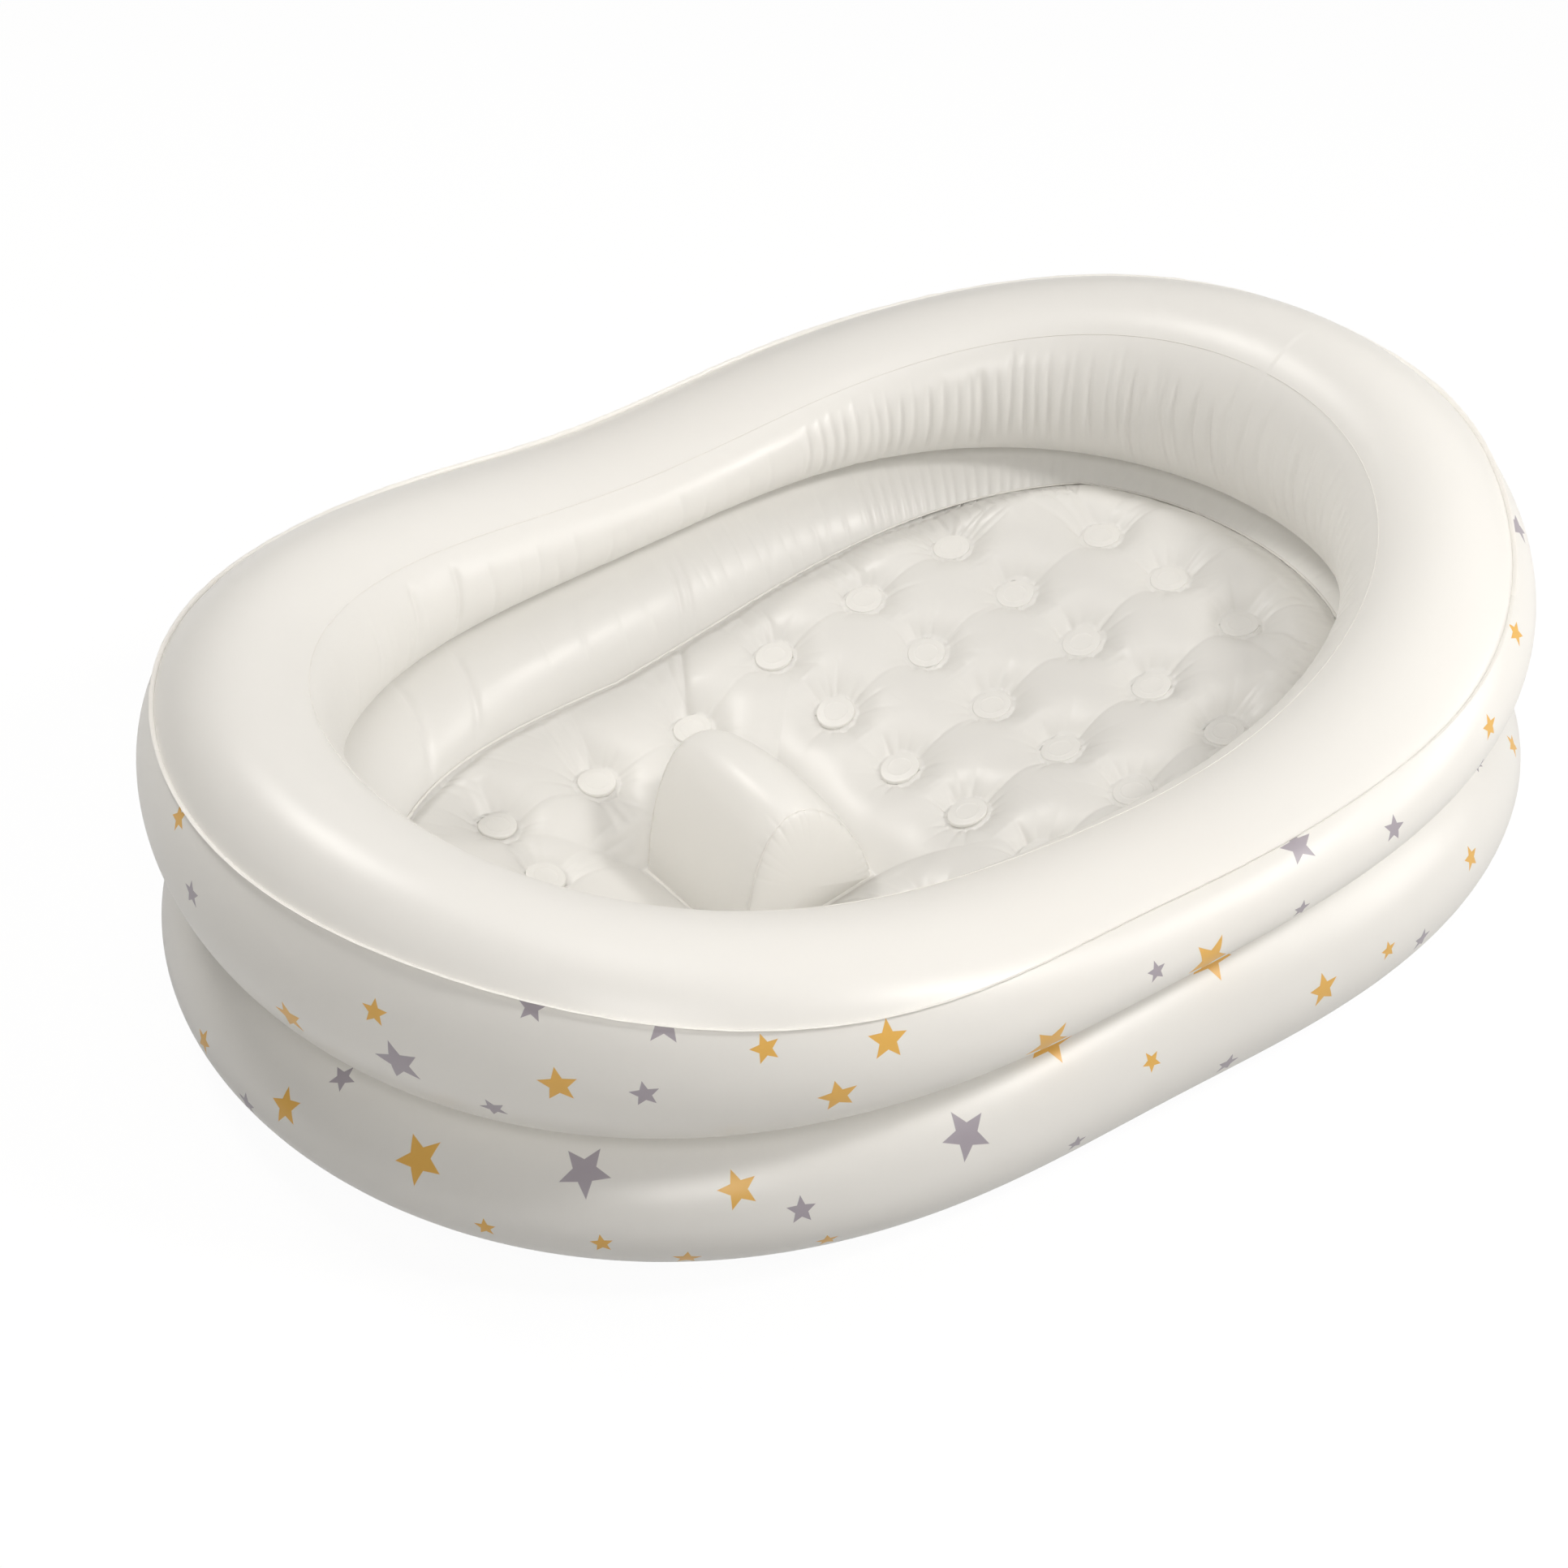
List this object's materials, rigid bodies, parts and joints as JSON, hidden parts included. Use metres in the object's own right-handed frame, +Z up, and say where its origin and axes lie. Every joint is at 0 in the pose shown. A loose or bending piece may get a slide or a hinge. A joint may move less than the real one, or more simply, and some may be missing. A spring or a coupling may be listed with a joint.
{
  "type": "inflatable bathtub",
  "caption": "Inflatable tub with stacked air rings, a tufted air floor that rises to a raised head end, a seat horn, air valves and a floor drain.",
  "frame": {"origin": "middle of the outline's footprint, on the face the tub stands on", "axes": "+X to the raised head end, +Y to the side away from the drain, +Z up"},
  "size_m": [0.8901, 0.6588, 0.25],
  "materials": {
    "pvc_sheet": "satin soft PVC sheet, warm off-white",
    "moulded_pvc": "moulded soft PVC, milky"
  },
  "bodies": {
    "root": {"base_sheet": "pvc_sheet", "lower_ring": "pvc_sheet", "upper_ring": "pvc_sheet", "ring_divider": "pvc_sheet", "rim_outer_seam": "pvc_sheet", "rim_inner_seam": "pvc_sheet", "base_seam": "pvc_sheet", "floor_seam": "pvc_sheet", "floor_cushion": "pvc_sheet", "saddle_horn": "pvc_sheet", "horn_near_seam": "pvc_sheet", "horn_far_seam": "pvc_sheet", "horn_base_seam": "pvc_sheet", "rim_valve_seat": "moulded_pvc", "wall_valve_seat": "moulded_pvc", "floor_valve_seat": "moulded_pvc", "drain_seat": "moulded_pvc"},
    "rim_valve_stem": {"rim_valve_stem": "moulded_pvc"},
    "rim_valve_cap": {"rim_valve_cap": "moulded_pvc"},
    "rim_valve_flap": {"rim_valve_flap": "moulded_pvc"},
    "wall_valve_stem": {"wall_valve_stem": "moulded_pvc"},
    "wall_valve_cap": {"wall_valve_cap": "moulded_pvc"},
    "wall_valve_flap": {"wall_valve_flap": "moulded_pvc"},
    "floor_valve_stem": {"floor_valve_stem": "moulded_pvc"},
    "floor_valve_cap": {"floor_valve_cap": "moulded_pvc"},
    "floor_valve_flap": {"floor_valve_flap": "moulded_pvc"},
    "drain_plug": {"drain_plug": "moulded_pvc"}
  },
  "joints": [
    {"name": "rim_stem_slide", "type": "slide", "parent": "root", "child": "rim_valve_stem", "axis": [0.3666, 0.9304, 0], "range_m": [0, 0.013]},
    {"name": "rim_cap_hinge", "type": "hinge", "parent": "rim_valve_stem", "child": "rim_valve_cap", "pos_m": [0.24044, 0.30026, 0.15276], "axis": [-0.9304, 0.3666, 0], "range_deg": [0, 150]},
    {"name": "rim_flap_hinge", "type": "hinge", "parent": "rim_valve_stem", "child": "rim_valve_flap", "pos_m": [0.23296, 0.28128, 0.15326], "axis": [0.9304, -0.3666, 0], "range_deg": [0, 40], "stiffness_Nm_per_rad": 0.001},
    {"name": "wall_stem_slide", "type": "slide", "parent": "root", "child": "wall_valve_stem", "axis": [0.7073, 0.7069, 0], "range_m": [0, 0.013]},
    {"name": "wall_cap_hinge", "type": "hinge", "parent": "wall_valve_stem", "child": "wall_valve_cap", "pos_m": [0.35849, 0.23144, 0.05067], "axis": [-0.7069, 0.7073, 0], "range_deg": [0, 150]},
    {"name": "wall_flap_hinge", "type": "hinge", "parent": "wall_valve_stem", "child": "wall_valve_flap", "pos_m": [0.34407, 0.21702, 0.05117], "axis": [0.7069, -0.7073, 0], "range_deg": [0, 40], "stiffness_Nm_per_rad": 0.001},
    {"name": "floor_stem_slide", "type": "slide", "parent": "root", "child": "floor_valve_stem", "axis": [0, 0, 1], "range_m": [0, 0.013]},
    {"name": "floor_cap_hinge", "type": "hinge", "parent": "floor_valve_stem", "child": "floor_valve_cap", "pos_m": [-0.1055, -0.128, 0.0464], "axis": [0, 1, 0], "range_deg": [0, 150]},
    {"name": "floor_flap_hinge", "type": "hinge", "parent": "floor_valve_stem", "child": "floor_valve_flap", "pos_m": [-0.106, -0.128, 0.026], "axis": [0, -1, 0], "range_deg": [0, 40], "stiffness_Nm_per_rad": 0.001},
    {"name": "drain_plug_hinge", "type": "hinge", "parent": "root", "child": "drain_plug", "pos_m": [-0.1895, -0.045, 0.0249], "axis": [0, 1, 0], "range_deg": [0, 150]}
  ]
}
